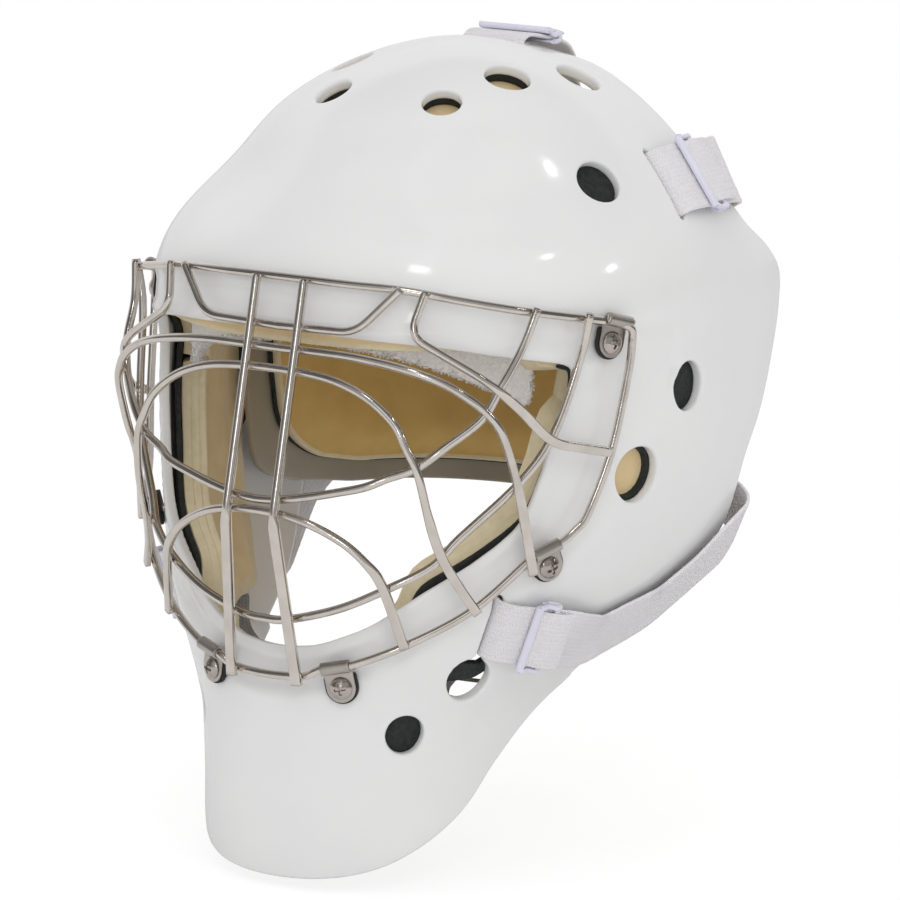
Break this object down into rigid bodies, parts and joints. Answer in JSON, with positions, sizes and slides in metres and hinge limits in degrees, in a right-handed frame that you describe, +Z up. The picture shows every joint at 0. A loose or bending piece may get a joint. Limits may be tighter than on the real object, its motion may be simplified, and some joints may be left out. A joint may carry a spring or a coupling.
{
  "type": "hockey goalie mask",
  "caption": "Ice hockey goalie mask: moulded shell with round vents, welded wire face cage on clips, foam pads, chin sling and a strapped, hinged back plate.",
  "frame": {"origin": "centre of the wearer's head inside the mask", "axes": "+X to the wearer's left, -Y out of the face, +Z up to the crown"},
  "size_m": [0.2359, 0.2431, 0.3255],
  "materials": {
    "shell": "glossy white gel coat",
    "cage": "polished stainless wire, brushed where it is ground flat",
    "clips": "satin stainless sheet",
    "screws": "polished stainless",
    "rubber": "matt black rubber",
    "black_foam": "closed-cell foam",
    "tan_foam": "suede-faced foam",
    "terry": "terry towelling",
    "cup": "soft moulded cup",
    "webbing": "woven webbing",
    "plate": "moulded plate, grey-brown inside",
    "nylon": "moulded nylon",
    "elastic": "woven elastic"
  },
  "bodies": {
    "mask": {"shell": "shell", "cage_rim": "cage", "cage_centre_bars": "cage", "cage_u_bar": "cage", "cage_brow_bars": "cage", "cage_sag_upper": "cage", "cage_sag_lower": "cage", "cage_arc_outer": "cage", "cage_arc_middle": "cage", "cage_arc_inner": "cage", "cage_clips": "clips", "clip_pads": "rubber", "clip_screws": "screws", "clip_nuts": "screws", "liner_left": "black_foam", "liner_right": "black_foam", "forehead_pad": "tan_foam", "sweatband": "terry", "crown_pad": "tan_foam", "temple_pad_left": "tan_foam", "temple_pad_right": "tan_foam", "cheek_pad_left": "tan_foam", "cheek_pad_right": "tan_foam", "chin_pad": "black_foam", "snap_studs": "screws", "strap_bars": "nylon", "crown_strap": "elastic", "temple_strap_left": "elastic", "temple_strap_right": "elastic", "lower_strap_left": "elastic", "lower_strap_right": "elastic"},
    "back_plate": {"back_plate": "plate", "plate_foam": "black_foam", "plate_lining": "tan_foam", "plate_screws": "screws"},
    "chin_sling": {"chin_cup": "cup", "chin_webbing": "webbing", "chin_snaps": "screws"},
    "crown_slider": {"crown_slider": "nylon"},
    "temple_slider_left": {"temple_slider_left": "nylon"},
    "temple_slider_right": {"temple_slider_right": "nylon"},
    "lower_slider_left": {"lower_slider_left": "nylon"},
    "lower_slider_right": {"lower_slider_right": "nylon"}
  },
  "joints": [
    {"name": "back_plate_hinge", "type": "hinge", "parent": "mask", "child": "back_plate", "pos_m": [0, 0.09, 0.088], "axis": [1, 0, 0], "range_deg": [0, 35], "deforming": ["crown_strap", "temple_strap_left", "temple_strap_right", "lower_strap_left", "lower_strap_right"]},
    {"name": "chin_sling_swing", "type": "hinge", "parent": "mask", "child": "chin_sling", "pos_m": [0, -0.03355, -0.14], "axis": [1, 0, 0], "range_deg": [-12, 12]},
    {"name": "crown_slider_slide", "type": "slide", "parent": "mask", "child": "crown_slider", "axis": [0, 0.9766, -0.2149], "range_m": [-0.005, 0.005]},
    {"name": "temple_slider_left_slide", "type": "slide", "parent": "mask", "child": "temple_slider_left", "axis": [0.0441, 0.9987, -0.0261], "range_m": [-0.005, 0.005]},
    {"name": "temple_slider_right_slide", "type": "slide", "parent": "mask", "child": "temple_slider_right", "axis": [-0.0441, 0.9987, -0.0261], "range_m": [-0.005, 0.005]},
    {"name": "lower_slider_left_slide", "type": "slide", "parent": "mask", "child": "lower_slider_left", "axis": [0.4691, 0.8661, -0.1726], "range_m": [-0.005, 0.005]},
    {"name": "lower_slider_right_slide", "type": "slide", "parent": "mask", "child": "lower_slider_right", "axis": [-0.4691, 0.8661, -0.1726], "range_m": [-0.005, 0.005]}
  ]
}
